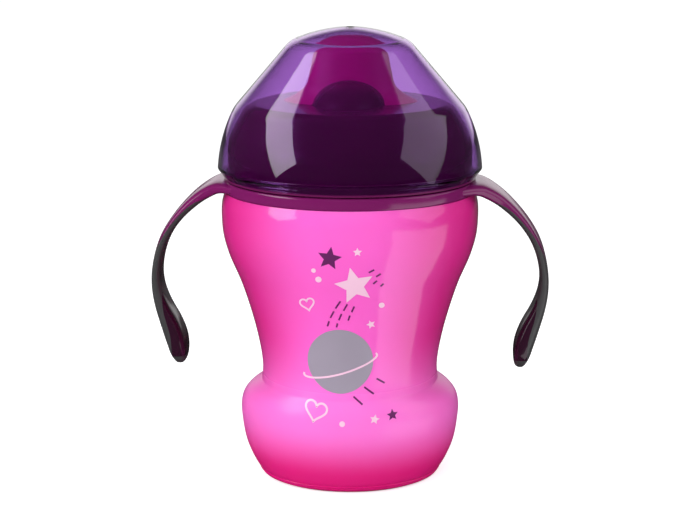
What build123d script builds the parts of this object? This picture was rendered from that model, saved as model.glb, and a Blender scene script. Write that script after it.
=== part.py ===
from build123d import *
import os
from math import copysign, cos, pi, radians, sin

# Training cup for a toddler: an hourglass cup with a screw lid and a soft spout,
# a loose handle ring that the lid clamps on the cup's shoulder, and a clear overcap.
# Millimetres. The origin is on the cup's axis where it stands, +Z up. The handles
# lie along X, and the cup's front faces -Y.

# ---------------------------------------------------------------- driving dimensions

# Cup: stations of its oval section, as (height, half width in X, half depth in Y).
# The sides are pinched for a child's fingers, and the pinch ends on a ledge.
FOOT_STATIONS = [
    (0.0, 25.4, 25.6), (0.9, 27.2, 27.4), (2.2, 28.0, 28.2), (6.0, 30.2, 30.4), (11.0, 32.2, 32.5),
    (17.0, 33.3, 33.7), (22.0, 33.6, 33.8), (25.2, 32.8, 33.4), (27.6, 30.8, 32.8), (29.9, 27.2, 32.1),
]
WAIST_STATIONS = [
    (29.9, 27.2, 32.1), (33.5, 26.9, 31.4), (38.0, 27.3, 31.0), (45.0, 28.7, 31.2), (53.0, 30.9, 32.2),
    (61.0, 33.6, 34.3), (69.0, 37.0, 37.1), (75.0, 38.7, 38.7), (80.0, 39.2, 39.2), (85.0, 39.1, 39.1),
    (88.5, 38.2, 38.2),
]
CUP_RADIUS = 39.2
CUP_WALL = 1.8
HOLLOW_FLOOR = (2.6, 27.6, 27.8)
HOLLOW_SHOULDER = (86.0, 36.0, 36.0)
RECESS_RADIUS = 21.0
RECESS_DEPTH = 0.8
SHOULDER_TOP = 88.5
NECK_FOOT = 80.0
NECK_RADIUS = 34.0
NECK_BORE = 32.2
NECK_TOP = 103.5

# Screw thread between the neck and the lid: one start, right-handed. The lid's thread
# runs half a pitch below the neck's.
THREAD_PITCH = 4.0
THREAD_TURNS = 1.25
THREAD_START = 95.4
THREAD_TIP = 0.9
THREAD_ROOT = 1.7
THREAD_SINK = 0.4
NECK_CREST = 35.4
LID_CREST = 34.5

# Handle ring.
RING_BORE = 35.8
RING_RADIUS = 38.5
RING_TOP = 92.2
RING_EDGE = 0.7
RING_GAP = 0.35

# Handle arms: stations of the right arm along its length, as
# (x, z, slope of the run in degrees, half thickness, half width in Y).
ARM_STATIONS = [
    (33.0, 90.35, 0, 1.80, 18.5), (38.0, 90.35, -6, 1.95, 13.8), (42.6, 88.80, -28, 2.05, 10.4),
    (47.4, 85.40, -41, 1.85, 8.4), (52.2, 80.60, -50, 1.55, 7.4), (56.6, 74.00, -64, 1.40, 7.0),
    (59.0, 66.50, -79, 1.35, 6.9), (59.4, 59.00, -95, 1.60, 6.9), (57.7, 52.00, -107, 2.25, 7.1),
    (55.3, 46.20, -108, 2.95, 7.5), (53.6, 41.20, -104, 3.05, 7.7), (52.8, 37.40, -101, 2.55, 7.1),
    (52.3, 34.90, -100, 1.60, 5.2), (52.15, 34.10, -100, 0.70, 3.0),
]
ARM_SQUARENESS = 3.2
ARM_REACH = 65.0

# Grips: soft rubber let into the arms' front and back edges and round their tips,
# as an outline in XZ on the right arm.
GRIP_OUTER = [
    (41.0, 87.6), (47.6, 84.9), (53.4, 79.4), (58.4, 71.8), (61.6, 62.0), (61.8, 52.0), (58.8, 38.0),
]
GRIP_TIP = [(58.8, 33.0), (49.0, 33.0), (49.0, 36.9)]
GRIP_INNER = [
    (54.6, 36.9), (54.9, 43.0), (57.1, 51.5), (57.4, 60.0), (56.3, 68.8), (52.4, 76.3), (41.0, 84.6),
]
GRIP_CORE = 4.6
GRIP_TIP_TOP = 36.9

# Screw lid.
LID_FOOT = 92.5
LID_FLANGE_TOP = 93.2
LID_FLANGE = 38.4
LID_RADIUS = 37.2
LID_BORE = 35.9
LID_SEAT = 105.1
LID_CAVITY = 31.4
LID_SHOULDER = [(37.2, 101.5), (35.5, 107.7), (32.9, 112.4), (29.6, 115.2)]
LID_DECK = 115.2
LID_WALL = 1.8

# Mound in front of and around the spout: an ellipsoid along Y.
MOUND_Y = 1.0
MOUND_TOP = 122.8
MOUND_RADIUS = 13.0
MOUND_LENGTH = 24.0

# Spout: stations of its outside and its bore, as (height, half width, half depth).
SPOUT_Y = 4.0
SPOUT_STATIONS = [
    (115.2, 20.4, 13.8), (116.0, 18.8, 12.6), (117.2, 16.6, 11.2), (119.8, 13.7, 9.7), (124.7, 12.4, 8.4),
    (128.7, 11.6, 7.4), (131.2, 10.9, 6.7), (133.1, 9.3, 5.5), (134.5, 6.2, 3.6), (134.9, 4.4, 2.4),
]
BORE_STATIONS = [
    (111.0, 10.4, 5.9), (113.4, 10.4, 5.9), (115.8, 10.4, 5.9), (118.2, 10.4, 5.9), (124.7, 10.1, 5.8),
    (129.0, 9.2, 5.0), (132.6, 6.8, 2.8),
]
STEM_WIDTH = 12.4
STEM_DEPTH = 7.9
STEM_TOP = 121.0
COLLAR_STEP = 1.6
COLLAR_HEIGHT = 1.6
SLOT_LENGTH = 8.5
SLOT_WIDTH = 1.8

# Valve: an oval cup with a slit skin, plugged into the spout from below.
VALVE_GAP = 0.15
VALVE_FLANGE = 1.5
VALVE_WALL = 1.2
VALVE_PLUG = 4.5
VALVE_SKIN = 0.9
VALVE_SLIT = 0.4
VALVE_SLIT_LENGTH = 9.0

# Gasket between the neck's rim and the lid.
GASKET_BORE = 31.9
GASKET_RADIUS = 35.2
GASKET_GAP = 0.1

# Overcap.
CAP_TOP = 138.3
CAP_DOME = (18.4, 133.9)
CAP_DOME_RISE = 1.2
CAP_CREASE = (35.2, 114.0)
CAP_SIDE_BOW = (38.5, 106.0)
CAP_CORNER = (40.3, 95.7)
CAP_LIP = (38.7, 93.5)
CAP_LIP_BORE = 37.4
CAP_WALL = 1.2
CAP_DOME_ROUND = 5.0
CAP_CREASE_ROUND = 12.0
CAP_VENT = 1.15

os.makedirs("parts", exist_ok=True)


# ---------------------------------------------------------------- shared shapes

def oval(plane, half_width, half_depth, squareness=2.0, points=16):
    """A closed smooth oval face on a plane: an ellipse, or squarer."""
    corners = []
    for step in range(points):
        turn = 2 * pi * step / points
        across = copysign(abs(cos(turn)) ** (2 / squareness), cos(turn))
        along = copysign(abs(sin(turn)) ** (2 / squareness), sin(turn))
        corners.append((half_width * across, half_depth * along))
    with BuildSketch(plane) as section:
        with BuildLine():
            Spline(*corners, periodic=True)
        make_face()
    return section.sketch


def oval_stack(stations, inset=0.0, centre_y=0.0):
    """The sections of a form that is oval at each height, ready to loft."""
    sections = []
    for height, half_width, half_depth in stations:
        level = Plane((0, centre_y, height))
        sections.append(oval(level, half_width - inset, half_depth - inset))
    return sections


def arm_sections(side):
    """The sections along one handle arm, square to its run."""
    sections = []
    for x, z, slope, half_thickness, half_width in ARM_STATIONS:
        run = Vector(side * cos(radians(slope)), 0, sin(radians(slope)))
        level = Plane(origin=(side * x, 0, z), x_dir=(0, 1, 0), z_dir=run)
        sections.append(oval(level, half_width, half_thickness, ARM_SQUARENESS))
    return sections


def thread_outline(depth):
    """The thread's trapezoid: its root sunk a little into the wall, its tip at depth."""
    sink = copysign(THREAD_SINK, -depth)
    return [
        (sink, -THREAD_ROOT / 2), (depth, -THREAD_TIP / 2),
        (depth, THREAD_TIP / 2), (sink, THREAD_ROOT / 2),
    ]


def save(piece, name):
    """Label a finished piece and write it."""
    piece.label = name
    export_step(piece, f"parts/{name}.step")


# ---------------------------------------------------------------- cup

with BuildPart() as cup_body:
    loft(oval_stack(FOOT_STATIONS))
    loft(oval_stack(WAIST_STATIONS))
    with BuildSketch(Plane.XY.offset(SHOULDER_TOP)):
        Circle(NECK_RADIUS)
    extrude(amount=NECK_TOP - SHOULDER_TOP)
    # External thread.
    with BuildLine() as neck_helix:
        Helix(THREAD_PITCH, THREAD_PITCH * THREAD_TURNS, NECK_RADIUS, center=(0, 0, THREAD_START))
    with BuildSketch(Plane(origin=neck_helix.line @ 0, x_dir=(1, 0, 0), z_dir=neck_helix.line % 0)):
        with BuildLine():
            Polyline(*thread_outline(NECK_CREST - NECK_RADIUS), close=True)
        make_face()
    sweep(is_frenet=True)
    # Hollow, neck bore, and the recess under the foot.
    loft(oval_stack([HOLLOW_FLOOR] + FOOT_STATIONS[3:], inset=CUP_WALL), mode=Mode.SUBTRACT)
    loft(oval_stack(WAIST_STATIONS[:-2] + [HOLLOW_SHOULDER], inset=CUP_WALL), mode=Mode.SUBTRACT)
    with BuildSketch(Plane.XY.offset(NECK_FOOT)):
        Circle(NECK_BORE)
    extrude(amount=NECK_TOP - NECK_FOOT, mode=Mode.SUBTRACT)
    with BuildSketch(Plane.XY):
        Circle(RECESS_RADIUS)
    extrude(amount=RECESS_DEPTH, mode=Mode.SUBTRACT)
save(cup_body.part, "cup_body")

# ---------------------------------------------------------------- grips

with BuildPart() as grip_band:
    with BuildSketch(Plane.XZ):
        with BuildLine():
            outer = Spline(*GRIP_OUTER)
            inner = Spline(*GRIP_INNER)
            Polyline(outer @ 1, *GRIP_TIP, inner @ 0)
            Line(inner @ 1, outer @ 0)
        make_face()
    extrude(amount=ARM_REACH, both=True)
    with BuildSketch(Plane.XY.offset(GRIP_TIP_TOP)):
        Rectangle(2 * ARM_REACH, 2 * GRIP_CORE)
    extrude(amount=RING_TOP - GRIP_TIP_TOP, mode=Mode.SUBTRACT)

with BuildPart() as grip_right:
    loft(arm_sections(1))
    add(grip_band.part, mode=Mode.INTERSECT)
save(grip_right.part, "grip_right")

with BuildPart() as grip_left:
    loft(arm_sections(-1))
    add(grip_band.part.mirror(Plane.YZ), mode=Mode.INTERSECT)
save(grip_left.part, "grip_left")

# ---------------------------------------------------------------- handle ring

with BuildPart() as handle_ring:
    with BuildSketch(Plane.XY.offset(SHOULDER_TOP)):
        Circle(RING_RADIUS)
    extrude(amount=RING_TOP - SHOULDER_TOP)
    fillet(handle_ring.edges().filter_by(GeomType.CIRCLE), RING_EDGE)
    loft(arm_sections(1))
    loft(arm_sections(-1))
    # Room for the cup below, for the overcap above, and for the neck.
    with BuildSketch(Plane.XY.offset(NECK_FOOT)):
        Circle(CUP_RADIUS + RING_GAP)
    extrude(amount=SHOULDER_TOP - NECK_FOOT, mode=Mode.SUBTRACT)
    with BuildSketch(Plane.XY.offset(RING_TOP)):
        Circle(CAP_CORNER[0] + RING_GAP)
    extrude(amount=LID_SEAT - RING_TOP, mode=Mode.SUBTRACT)
    with BuildSketch(Plane.XY.offset(NECK_FOOT)):
        Circle(RING_BORE)
    extrude(amount=LID_SEAT - NECK_FOOT, mode=Mode.SUBTRACT)
    add(grip_right.part, mode=Mode.SUBTRACT)
    add(grip_left.part, mode=Mode.SUBTRACT)
save(handle_ring.part, "handle_ring")

# ---------------------------------------------------------------- mound, shared by lid and spout


def mound_form(inset):
    """The mound's ellipsoid, or the hollow that is inset from it."""
    centre_z = MOUND_TOP - MOUND_RADIUS
    with BuildPart() as form:
        with BuildSketch(Plane.YZ):
            with BuildLine():
                dome = EllipticalCenterArc(
                    (MOUND_Y, centre_z), MOUND_LENGTH - inset, MOUND_RADIUS - inset, arc_size=180
                )
                Line(dome @ 1, dome @ 0)
            make_face()
        revolve(axis=Axis((0, 0, centre_z), (0, 1, 0)))
    return form.part


# The mound is cut off at the underside of the lid's deck.
with BuildPart() as mound:
    add(mound_form(0))
    with BuildSketch(Plane.XY.offset(LID_DECK - LID_WALL)):
        Circle(2 * MOUND_LENGTH)
    extrude(amount=-2 * MOUND_LENGTH, mode=Mode.SUBTRACT)

# ---------------------------------------------------------------- screw lid

with BuildPart() as lid:
    with BuildSketch(Plane.XZ):
        with BuildLine():
            shoulder = Spline(*LID_SHOULDER, tangents=((0, 1), (-1, 0.35)))
            Polyline(
                shoulder @ 1, (0, LID_DECK), (0, LID_DECK - LID_WALL), (LID_CAVITY, LID_DECK - LID_WALL),
                (LID_CAVITY, LID_SEAT), (LID_BORE, LID_SEAT), (LID_BORE, LID_FOOT), (LID_FLANGE, LID_FOOT),
                (LID_FLANGE, LID_FLANGE_TOP), (LID_RADIUS, LID_FLANGE_TOP), shoulder @ 0,
            )
        make_face()
    revolve(axis=Axis.Z)
    # The mound stands on the deck and is hollow, and the spout's stem goes through it.
    add(mound.part)
    add(mound_form(LID_WALL), mode=Mode.SUBTRACT)
    extrude(oval(Plane((0, SPOUT_Y, LID_SEAT)), STEM_WIDTH, STEM_DEPTH), amount=CAP_TOP - LID_SEAT,
            mode=Mode.SUBTRACT)
    # Internal thread.
    with BuildLine() as lid_helix:
        Helix(
            THREAD_PITCH, THREAD_PITCH * THREAD_TURNS, LID_BORE,
            center=(0, 0, THREAD_START - THREAD_PITCH / 2),
        )
    with BuildSketch(Plane(origin=lid_helix.line @ 0, x_dir=(1, 0, 0), z_dir=lid_helix.line % 0)):
        with BuildLine():
            Polyline(*thread_outline(LID_CREST - LID_BORE), close=True)
        make_face()
    sweep(is_frenet=True)
save(lid.part, "lid")

# ---------------------------------------------------------------- spout

with BuildPart() as spout:
    loft(oval_stack(SPOUT_STATIONS, centre_y=SPOUT_Y))
    add(mound_form(0), mode=Mode.SUBTRACT)
    collar_foot = LID_DECK - LID_WALL - COLLAR_HEIGHT
    extrude(oval(Plane((0, SPOUT_Y, collar_foot)), STEM_WIDTH, STEM_DEPTH), amount=STEM_TOP - collar_foot)
    collar = oval(Plane((0, SPOUT_Y, collar_foot)), STEM_WIDTH + COLLAR_STEP, STEM_DEPTH + COLLAR_STEP)
    extrude(collar, amount=COLLAR_HEIGHT)
    loft(oval_stack(BORE_STATIONS, centre_y=SPOUT_Y), mode=Mode.SUBTRACT)
    with BuildSketch(Plane((0, SPOUT_Y, CAP_TOP))):
        SlotOverall(SLOT_LENGTH, SLOT_WIDTH)
    extrude(amount=LID_DECK - CAP_TOP, mode=Mode.SUBTRACT)
save(spout.part, "spout")

# ---------------------------------------------------------------- valve

with BuildPart() as valve:
    flange_top = LID_DECK - LID_WALL - COLLAR_HEIGHT - VALVE_GAP
    flange_level = Plane((0, SPOUT_Y, flange_top - VALVE_FLANGE))
    bore_width = BORE_STATIONS[0][1] - VALVE_GAP
    bore_depth = BORE_STATIONS[0][2] - VALVE_GAP
    extrude(oval(flange_level, STEM_WIDTH + COLLAR_STEP, STEM_DEPTH + COLLAR_STEP), amount=VALVE_FLANGE)
    extrude(oval(flange_level, bore_width, bore_depth), amount=VALVE_FLANGE + VALVE_PLUG)
    extrude(oval(flange_level, bore_width - VALVE_WALL, bore_depth - VALVE_WALL),
            amount=VALVE_FLANGE + VALVE_PLUG - VALVE_SKIN, mode=Mode.SUBTRACT)
    with BuildSketch(flange_level):
        Rectangle(VALVE_SLIT_LENGTH, VALVE_SLIT)
    extrude(amount=VALVE_FLANGE + VALVE_PLUG, mode=Mode.SUBTRACT)
save(valve.part, "valve")

# ---------------------------------------------------------------- gasket

with BuildPart() as gasket:
    with BuildSketch(Plane.XY.offset(NECK_TOP + GASKET_GAP)):
        Circle(GASKET_RADIUS)
        Circle(GASKET_BORE, mode=Mode.SUBTRACT)
    extrude(amount=LID_SEAT - NECK_TOP - 2 * GASKET_GAP)
save(gasket.part, "gasket")

# ---------------------------------------------------------------- overcap

with BuildPart() as overcap:
    with BuildSketch(Plane.XZ) as outside:
        with BuildLine():
            dome = ThreePointArc((0, CAP_TOP), (CAP_DOME[0] / 2, CAP_TOP - CAP_DOME_RISE), CAP_DOME)
            slope = Line(CAP_DOME, CAP_CREASE)
            side = ThreePointArc(CAP_CREASE, CAP_SIDE_BOW, CAP_CORNER)
            Polyline(CAP_CORNER, CAP_LIP, (0, CAP_LIP[1]), (0, CAP_TOP))
        make_face()
        fillet(outside.vertices().sort_by_distance(CAP_DOME)[0], CAP_DOME_ROUND)
        fillet(outside.vertices().sort_by_distance(CAP_CREASE)[0], CAP_CREASE_ROUND)
    revolve(axis=Axis.Z)
    # Inside, one wall in from the outside, down to a lip that snaps round the lid.
    with BuildSketch(Plane.XZ) as inside:
        with BuildLine():
            dome_edge = (CAP_DOME[0] - CAP_WALL / 2, CAP_DOME[1] - CAP_WALL)
            crease = (CAP_CREASE[0] - CAP_WALL, CAP_CREASE[1] - CAP_WALL / 2)
            side_bow = (CAP_SIDE_BOW[0] - CAP_WALL, CAP_SIDE_BOW[1])
            corner = (CAP_CORNER[0] - CAP_WALL, CAP_CORNER[1] + CAP_WALL / 2)
            ThreePointArc(
                (0, CAP_TOP - CAP_WALL), (dome_edge[0] / 2, CAP_TOP - CAP_DOME_RISE - CAP_WALL), dome_edge
            )
            Line(dome_edge, crease)
            ThreePointArc(crease, side_bow, corner)
            Polyline(
                corner, (CAP_LIP_BORE, CAP_LIP[1] + CAP_WALL), (CAP_LIP_BORE, CAP_LIP[1]),
                (0, CAP_LIP[1]), (0, CAP_TOP - CAP_WALL),
            )
        make_face()
        fillet(inside.vertices().sort_by_distance(dome_edge)[0], CAP_DOME_ROUND - CAP_WALL)
        fillet(inside.vertices().sort_by_distance(crease)[0], CAP_CREASE_ROUND - CAP_WALL)
    revolve(axis=Axis.Z, mode=Mode.SUBTRACT)
    with Locations((0, 0, CAP_TOP)):
        Hole(CAP_VENT, depth=2 * CAP_WALL)
save(overcap.part, "overcap")
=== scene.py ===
import bpy
import bmesh
from math import atan2, ceil, copysign, cos, hypot, pi, radians, sin, sqrt, tan
from mathutils import Matrix, Vector


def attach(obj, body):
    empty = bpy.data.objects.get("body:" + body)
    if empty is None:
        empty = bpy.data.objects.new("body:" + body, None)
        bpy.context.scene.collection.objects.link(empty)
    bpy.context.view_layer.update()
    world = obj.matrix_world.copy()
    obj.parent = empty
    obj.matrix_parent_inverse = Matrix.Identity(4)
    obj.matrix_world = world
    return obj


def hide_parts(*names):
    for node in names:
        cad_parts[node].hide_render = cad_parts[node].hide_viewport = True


# A toddler's two-handled training cup: a pinched pink cup, a purple handle ring with grey
# rubber grips, a dark screw lid with a soft magenta spout, and a see-through violet overcap.
# The handles lie along X and the printed front faces -Y. Sizes that are shared with the
# CAD model are in millimetres, as it has them, and MM turns them into metres.

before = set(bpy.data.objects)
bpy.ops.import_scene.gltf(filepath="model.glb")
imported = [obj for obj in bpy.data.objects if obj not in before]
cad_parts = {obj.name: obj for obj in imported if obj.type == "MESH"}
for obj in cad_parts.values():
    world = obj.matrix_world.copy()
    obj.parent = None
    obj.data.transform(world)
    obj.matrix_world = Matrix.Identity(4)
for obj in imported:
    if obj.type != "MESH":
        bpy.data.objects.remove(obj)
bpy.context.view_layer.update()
MM = 0.001

# ---------------------------------------------------------------- driving dimensions (mm)

# Cup wall: (height, half width in X, half depth in Y).
FOOT_STATIONS = [
    (0.0, 25.4, 25.6), (0.9, 27.2, 27.4), (2.2, 28.0, 28.2), (6.0, 30.2, 30.4), (11.0, 32.2, 32.5),
    (17.0, 33.3, 33.7), (22.0, 33.6, 33.8), (25.2, 32.8, 33.4), (27.6, 30.8, 32.8), (29.9, 27.2, 32.1),
]
WAIST_STATIONS = [
    (29.9, 27.2, 32.1), (33.5, 26.9, 31.4), (38.0, 27.3, 31.0), (45.0, 28.7, 31.2), (53.0, 30.9, 32.2),
    (61.0, 33.6, 34.3), (69.0, 37.0, 37.1), (75.0, 38.7, 38.7), (80.0, 39.2, 39.2), (85.0, 39.1, 39.1),
    (88.5, 38.2, 38.2),
]
SEAM_HEIGHT = 2.2
SEAM_DEPTH = 0.14
SEAM_HALF_WIDTH = 0.22
CUP_WALL = 1.8
HOLLOW_FLOOR = 2.6
RECESS_RADIUS = 21.0
RECESS_DEPTH = 0.8
NECK_RADIUS = 34.0
NECK_BORE = 32.2
NECK_TOP = 103.5

# Screw thread, with the lid's ridge half a pitch below the neck's.
THREAD_PITCH = 4.0
THREAD_TURNS = 1.25
THREAD_START = 95.4
THREAD_HALF_ROOT = 0.85
THREAD_HALF_TIP = 0.45
NECK_RIDGE = 1.4
THREAD_RUNOUT = 0.04
THREAD_STEP = 0.2

# Handle ring and arms. Arm stations: (x, z, slope of the run, half thickness, half width in Y).
RING_FOOT = 88.5
RING_TOP = 92.2
RING_BORE = 35.8
RING_RADIUS = 38.5
RING_EDGE = 0.7
ARM_STATIONS = [
    (33.0, 90.35, 0, 1.80, 18.5), (38.0, 90.35, -6, 1.95, 13.8), (42.6, 88.80, -28, 2.05, 10.4),
    (47.4, 85.40, -41, 1.85, 8.4), (52.2, 80.60, -50, 1.55, 7.4), (56.6, 74.00, -64, 1.40, 7.0),
    (59.0, 66.50, -79, 1.35, 6.9), (59.4, 59.00, -95, 1.60, 6.9), (57.7, 52.00, -107, 2.25, 7.1),
    (55.3, 46.20, -108, 2.95, 7.5), (53.6, 41.20, -104, 3.05, 7.7), (52.8, 37.40, -101, 2.55, 7.1),
    (52.3, 34.90, -100, 1.60, 5.2), (52.15, 34.10, -100, 0.70, 3.0),
]
ARM_SQUARENESS = 3.2
CUP_CLEARANCE = 39.55
OVERCAP_CLEARANCE = 40.65

# Grips: the rubber's outline in XZ on the right arm, and the arm's bare middle.
GRIP_OUTER = [
    (41.0, 87.6), (47.6, 84.9), (53.4, 79.4), (58.4, 71.8), (61.6, 62.0), (61.8, 52.0), (58.8, 38.0),
]
GRIP_TIP = [(58.8, 33.0), (49.0, 33.0), (49.0, 36.9)]
GRIP_INNER = [
    (54.6, 36.9), (54.9, 43.0), (57.1, 51.5), (57.4, 60.0), (56.3, 68.8), (52.4, 76.3), (41.0, 84.6),
]
GRIP_CORE = 4.6
GRIP_TIP_TOP = 36.9
GRIP_PARTING = 0.06

# Screw lid and the mound on its deck.
LID_FOOT = 92.5
LID_FLANGE_TOP = 93.2
LID_FLANGE = 38.4
LID_RADIUS = 37.2
LID_BORE = 35.9
LID_SEAT = 105.1
LID_CAVITY = 31.4
LID_SHOULDER = [(37.2, 101.5), (36.6, 104.8), (35.5, 107.7), (32.9, 112.4), (31.4, 114.2), (29.6, 115.2)]
LID_DECK = 115.2
LID_WALL = 1.8
MOUND_Y = 1.0
MOUND_TOP = 122.8
MOUND_RADIUS = 13.0
MOUND_LENGTH = 24.0
MOUND_FILLET = 0.5

# Spout: (height, half width, half depth), outside and bore.
SPOUT_Y = 4.0
SPOUT_STATIONS = [
    (115.2, 20.4, 13.8), (116.0, 18.8, 12.6), (117.2, 16.6, 11.2), (119.8, 13.7, 9.7), (124.7, 12.4, 8.4),
    (128.7, 11.6, 7.4), (131.2, 10.9, 6.7), (133.1, 9.3, 5.5), (134.5, 6.2, 3.6), (134.9, 4.4, 2.4),
]
BORE_STATIONS = [(118.2, 10.4, 5.9), (124.7, 10.1, 5.8), (129.0, 9.2, 5.0), (132.6, 6.8, 2.8)]
BORE_FOOT = 111.8
STEM = (12.4, 7.9)
STEM_HEAD = 121
COLLAR = 1.6
SLOT_HALF_LENGTH = 4.25
SLOT_HALF_WIDTH = 0.9

# Overcap, outside profile.
CAP_TOP = 138.3
CAP_DOME_MID = (9.2, 137.1)
CAP_DOME = (18.4, 133.9)
CAP_CREASE = (35.2, 114.0)
CAP_SIDE_BOW = (38.5, 106.0)
CAP_CORNER = (40.3, 95.7)
CAP_LIP = (38.7, 93.5)
CAP_LIP_BORE = 37.4
CAP_WALL = 1.2
CAP_DOME_ROUND = 9.0
CAP_CREASE_ROUND = 12.0
CAP_VENT = 1.15

# Mesh fineness.
AROUND = 240
SPAN_STEPS = 6
ARM_SIDES = 72
SPOUT_SIDES = 160
BORE_SIDES = 96
CAP_SIDES = 256


# ---------------------------------------------------------------- curves

def through(stations, steps=SPAN_STEPS):
    """Points of a smooth curve through the stations (centripetal Catmull-Rom), ends included."""
    points = [Vector(s) for s in stations]
    before = points[0] * 2 - points[1]
    after = points[-1] * 2 - points[-2]
    points = [before] + points + [after]
    curve = [points[1]]
    for i in range(1, len(points) - 2):
        p0, p1, p2, p3 = points[i - 1:i + 3]
        d1 = sqrt((p1 - p0).length)
        d2 = sqrt((p2 - p1).length)
        d3 = sqrt((p3 - p2).length)
        m1 = p2 - p1 + d2 * ((p1 - p0) / d1 - (p2 - p0) / (d1 + d2))
        m2 = p2 - p1 + d2 * ((p3 - p2) / d3 - (p3 - p1) / (d2 + d3))
        for step in range(1, steps + 1):
            t = step / steps
            curve.append(
                (2 * t ** 3 - 3 * t ** 2 + 1) * p1 + (t ** 3 - 2 * t ** 2 + t) * m1
                + (3 * t ** 2 - 2 * t ** 3) * p2 + (t ** 3 - t ** 2) * m2
            )
    return curve


def arc(start, middle, end, steps=16):
    """Points of the circular arc through three points."""
    (ax, ay), (bx, by), (cx, cy) = start, middle, end
    d = 2 * (ax * (by - cy) + bx * (cy - ay) + cx * (ay - by))
    sa, sb, sc = ax * ax + ay * ay, bx * bx + by * by, cx * cx + cy * cy
    ox = (sa * (by - cy) + sb * (cy - ay) + sc * (ay - by)) / d
    oy = (sa * (cx - bx) + sb * (ax - cx) + sc * (bx - ax)) / d
    radius = hypot(ax - ox, ay - oy)
    a0 = atan2(ay - oy, ax - ox)
    turn = (atan2(cy - oy, cx - ox) - a0 + pi) % (2 * pi) - pi
    return [
        (ox + radius * cos(a0 + turn * i / steps), oy + radius * sin(a0 + turn * i / steps))
        for i in range(steps + 1)
    ]


def rounded(first, second, radius, steps=8):
    """Two runs of points that meet at a corner, with that corner rounded."""
    corner = Vector(first[-1])
    into = (corner - Vector(first[-2])).normalized()
    out = (Vector(second[1]) - corner).normalized()
    reach = radius * tan(into.angle(out) / 2)
    start = [p for p in first[:-1] if (Vector(p) - corner).length > reach * 1.05]
    end = [p for p in second[1:] if (Vector(p) - corner).length > reach * 1.05]
    a = corner - into * reach
    b = corner + out * reach
    bend = []
    for i in range(steps + 1):
        t = i / steps
        bend.append(tuple((1 - t) ** 2 * a + 2 * t * (1 - t) * corner + t ** 2 * b))
    return start + bend + end


def line(start, end, steps):
    """Evenly spaced points from start to end."""
    return [tuple(Vector(start).lerp(Vector(end), i / steps)) for i in range(steps + 1)]


def power(value, exponent):
    """A power that keeps its value's sign."""
    return copysign(abs(value) ** exponent, value)


# ---------------------------------------------------------------- meshes

def new_piece(name, mesh_builder, material):
    """A mesh object from a filled bmesh, smooth, with its normals outwards."""
    mesh = bpy.data.meshes.new(name)
    bmesh.ops.recalc_face_normals(mesh_builder, faces=mesh_builder.faces)
    mesh_builder.to_mesh(mesh)
    mesh_builder.free()
    mesh.shade_smooth()
    piece = bpy.data.objects.new(name, mesh)
    bpy.context.scene.collection.objects.link(piece)
    if material:
        mesh.materials.append(material)
    return piece


def corner_rows(builder, rings):
    """The rings' points as rows of mesh corners."""
    return [[builder.verts.new(Vector(p) * MM) for p in ring] for ring in rings]


def bridge(builder, lower, upper):
    """A band of faces between two rows of corners."""
    count = len(lower)
    for i in range(count):
        j = (i + 1) % count
        builder.faces.new((lower[i], lower[j], upper[j], upper[i]))


def close_end(builder, row):
    """A fan of faces that closes a row of corners."""
    count = len(row)
    pole = builder.verts.new(sum((v.co for v in row), Vector()) / count)
    for i in range(count):
        builder.faces.new((row[i], row[(i + 1) % count], pole))


def stacked(rings, closed=False):
    """A skin over rings of points with the same count: capped at both ends, or joined end to end."""
    builder = bmesh.new()
    rows = corner_rows(builder, rings)
    for lower, upper in zip(rows, rows[1:]):
        bridge(builder, lower, upper)
    if closed:
        bridge(builder, rows[-1], rows[0])
    else:
        close_end(builder, rows[0])
        close_end(builder, rows[-1])
    return builder


def oval_ring(height, half_width, half_depth, centre_y=0.0, count=AROUND):
    """Points round an ellipse at a height."""
    return [
        (half_width * cos(2 * pi * i / count), centre_y + half_depth * sin(2 * pi * i / count), height)
        for i in range(count)
    ]


def thread_relief(turn, height, start, ridge):
    """How far the thread's ridge stands off its wall at a point, in mm."""
    relief = 0.0
    for lap in range(int(ceil(THREAD_TURNS)) + 1):
        along = turn / (2 * pi) + lap
        if along <= THREAD_TURNS:
            ends = min(1.0, along / THREAD_RUNOUT, (THREAD_TURNS - along) / THREAD_RUNOUT)
            off = abs(height - start - THREAD_PITCH * along)
            slope = (THREAD_HALF_ROOT - off) / (THREAD_HALF_ROOT - THREAD_HALF_TIP)
            relief = max(relief, ridge * ends * min(1.0, max(0.0, slope)))
    return relief


def threaded_ring(height, radius, start, ridge):
    """Points round a threaded wall at a height."""
    ring = []
    for i in range(AROUND):
        turn = 2 * pi * i / AROUND
        r = radius + copysign(thread_relief(turn, height, start, abs(ridge)), ridge)
        ring.append((r * cos(turn), r * sin(turn), height))
    return ring


def round_bar(outline, name, material, count=AROUND):
    """A solid of revolution from a closed outline of (radius, height)."""
    rings = [oval_ring(z, max(r, 0.0), max(r, 0.0), count=count) for r, z in outline]
    return new_piece(name, stacked(rings, closed=True), material)


def prism(name, outline, low, high):
    """A cutter: an outline in XZ, extended along Y from low to high."""
    builder = bmesh.new()
    near = [builder.verts.new(Vector((x, low, z)) * MM) for x, z in outline]
    far = [builder.verts.new(Vector((x, high, z)) * MM) for x, z in outline]
    builder.faces.new(near)
    builder.faces.new(far)
    for i in range(len(outline)):
        j = (i + 1) % len(outline)
        builder.faces.new((near[i], near[j], far[j], far[i]))
    return new_piece(name, builder, None)


def carved(piece, cutter, operation):
    """The piece cut by, joined to or kept within the cutter, as a plain mesh."""
    modifier = piece.modifiers.new("carve", "BOOLEAN")
    modifier.operation = operation
    modifier.solver = "EXACT"
    modifier.object = cutter
    graph = bpy.context.evaluated_depsgraph_get()
    mesh = bpy.data.meshes.new_from_object(piece.evaluated_get(graph))
    piece.modifiers.remove(modifier)
    old = piece.data
    piece.data = mesh
    bpy.data.meshes.remove(old)
    bpy.data.objects.remove(cutter)
    return piece


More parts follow.
